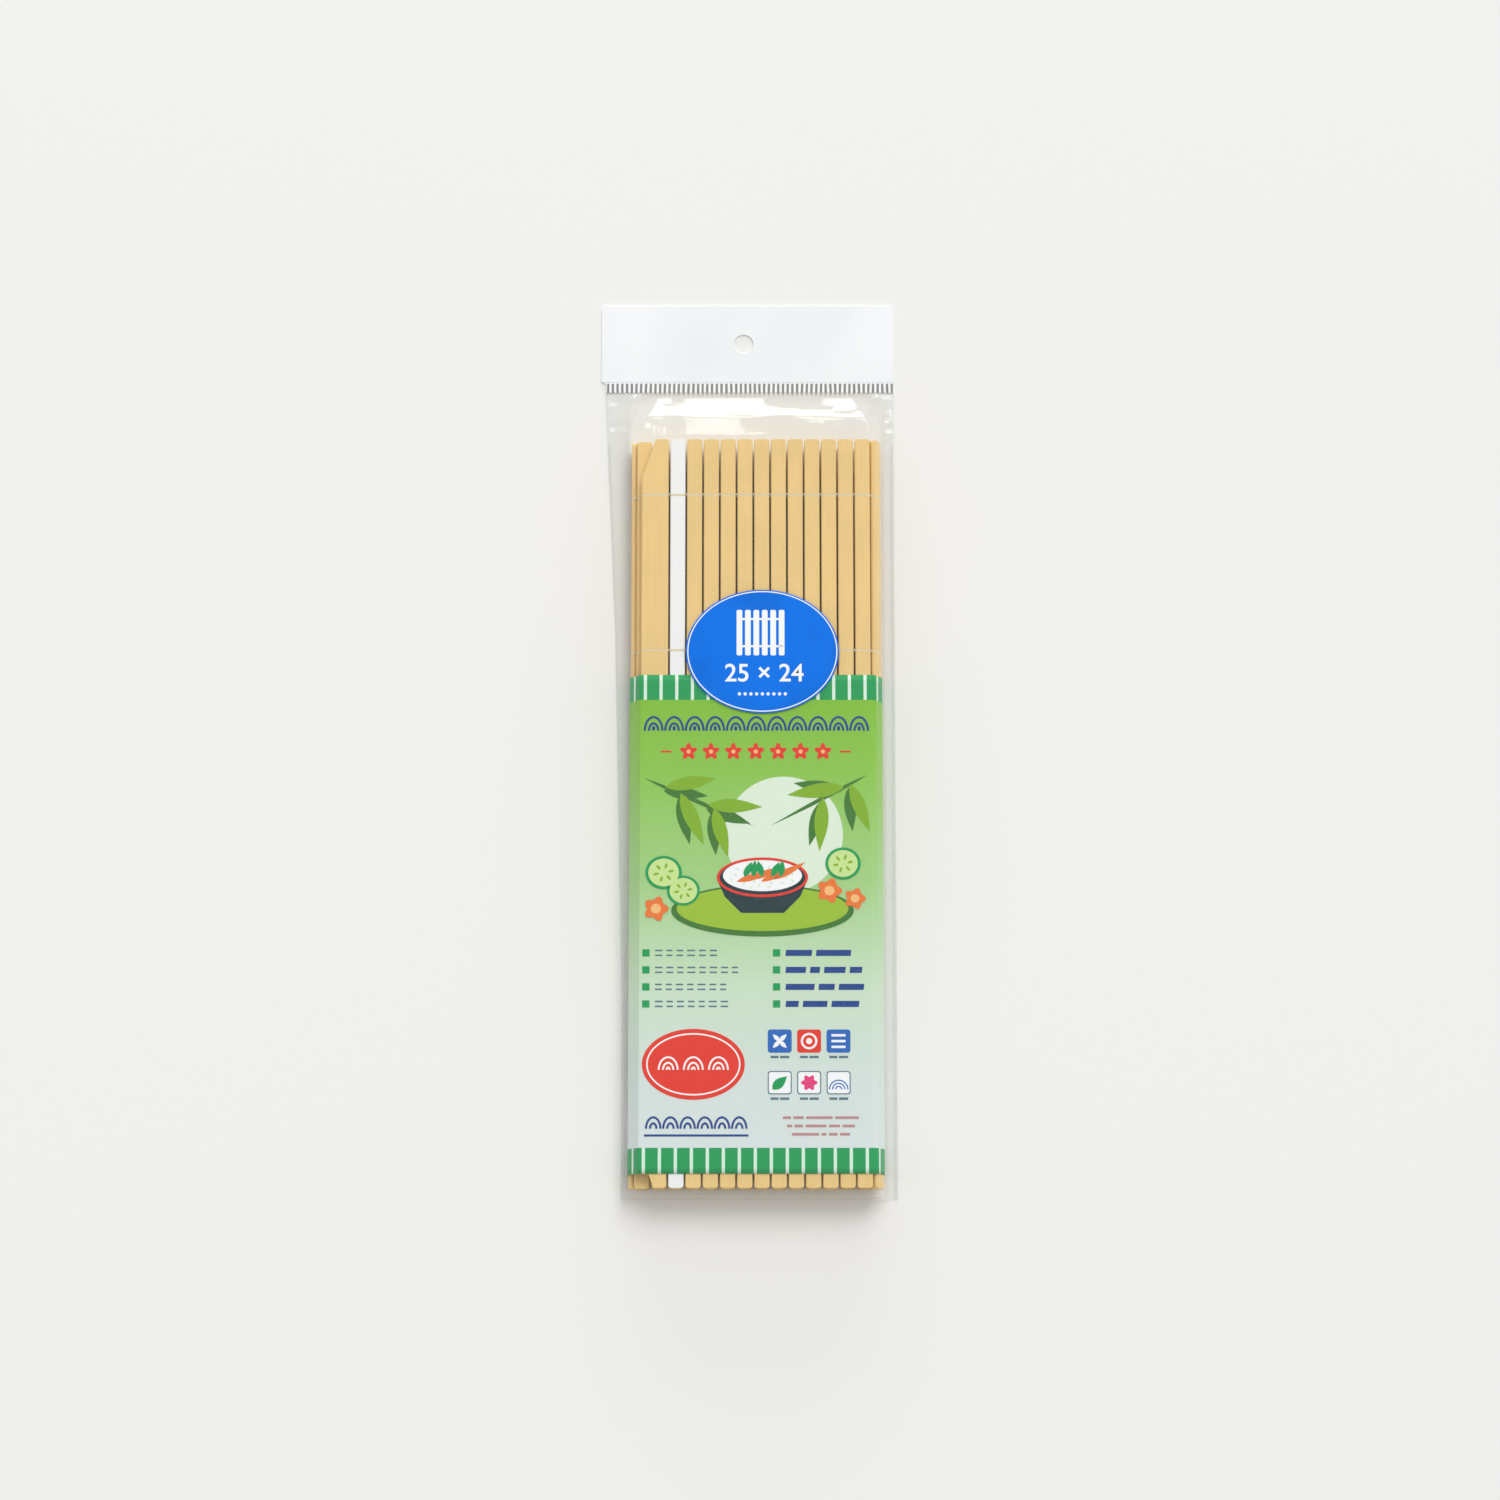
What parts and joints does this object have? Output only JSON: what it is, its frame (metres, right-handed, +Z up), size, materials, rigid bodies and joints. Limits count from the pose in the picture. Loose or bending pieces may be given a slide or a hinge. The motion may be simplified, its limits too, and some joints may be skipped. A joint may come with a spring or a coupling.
{
  "type": "sushi rolling mat",
  "caption": "Slatted plastic sushi rolling mat, folded in three in a printed paper band inside a clear bag with a white header and a round hang hole.",
  "frame": {"origin": "bottom centre of the pack's bounding box, on the table under the middle of the pack", "axes": "+Z up out of the pack's printed front, +Y along the slats to the header and its hang hole, +X to the right of the front"},
  "size_m": [0.0988, 0.3024, 0.0134],
  "materials": {
    "slat_beige": "satin moulded plastic",
    "slat_white": "satin moulded plastic",
    "thread": "twined synthetic thread",
    "band_paper": "coated printed paper",
    "film_clear": "clear glossy film",
    "film_weld": "welded film",
    "header_white": "white film",
    "sticker_blue": "glossy printed sticker"
  },
  "bodies": {
    "bag": {"bag_back": "film_clear", "bag_front": "film_clear", "weld_left": "film_weld", "weld_right": "film_weld", "crimp_seal": "film_weld", "size_sticker": "sticker_blue"},
    "header": {"header": "header_white"},
    "mat_base": {"slat_16": "slat_beige", "slat_17": "slat_beige", "slat_18": "slat_beige", "slat_19": "slat_beige", "slat_20": "slat_beige", "slat_21": "slat_beige", "slat_22": "slat_beige", "slat_23": "slat_beige", "slat_24": "slat_beige", "slat_25": "slat_beige", "slat_26": "slat_beige", "slat_27": "slat_beige", "slat_28": "slat_beige", "slat_29": "slat_beige", "slat_30": "slat_beige", "slat_31": "slat_beige", "slat_32": "slat_beige", "slat_33": "slat_beige", "slat_34": "slat_beige", "slat_35": "slat_beige", "slat_36": "slat_beige", "slat_37": "slat_beige", "slat_38": "slat_beige", "slat_39": "slat_beige", "slat_40": "slat_beige", "slat_41": "slat_beige", "slat_42": "slat_beige", "threads_base": "thread", "threads_inner": "thread"},
    "lower_turn": {"slat_15": "slat_beige", "threads_lower_turn": "thread"},
    "upper_turn": {"slat_14": "slat_beige", "threads_upper_turn": "thread"},
    "top_layer": {"edge_slat": "slat_beige", "marker_slat": "slat_white", "slat_03": "slat_beige", "slat_04": "slat_beige", "slat_05": "slat_beige", "slat_06": "slat_beige", "slat_07": "slat_beige", "slat_08": "slat_beige", "slat_09": "slat_beige", "slat_10": "slat_beige", "slat_11": "slat_beige", "slat_12": "slat_beige", "slat_13": "slat_beige", "threads_top": "thread"},
    "band": {"band_back": "band_paper", "band_front": "band_paper"}
  },
  "joints": [
    {"name": "header_fold", "type": "hinge", "parent": "bag", "child": "header", "pos_m": [0, 0.1243, 0.00025], "axis": [1, 0, 0], "range_deg": [0, 95]},
    {"name": "mat_slide", "type": "slide", "parent": "bag", "child": "mat_base", "axis": [0, 1, 0], "range_m": [-0.002, 0.001]},
    {"name": "band_slide", "type": "slide", "parent": "mat_base", "child": "band", "axis": [0, 1, 0], "range_m": [-0.004, 0.07]},
    {"name": "mat_unroll", "type": "hinge", "parent": "mat_base", "child": "lower_turn", "pos_m": [0.0412, 0, 0.00179], "axis": [0, 1, 0], "range_deg": [0, 60], "deforming": ["bag_front", "band_front", "size_sticker"]},
    {"name": "unroll_middle", "type": "hinge", "parent": "lower_turn", "child": "upper_turn", "pos_m": [0.044, 0, 0.00664], "axis": [0, 1, 0], "range_deg": [0, 60]},
    {"name": "unroll_upper", "type": "hinge", "parent": "upper_turn", "child": "top_layer", "pos_m": [0.0412, 0, 0.01149], "axis": [0, 1, 0], "range_deg": [0, 60]}
  ],
  "couplings": [
    {"joint": "unroll_middle", "follows": "mat_unroll", "ratio": 1},
    {"joint": "unroll_upper", "follows": "mat_unroll", "ratio": 1}
  ]
}
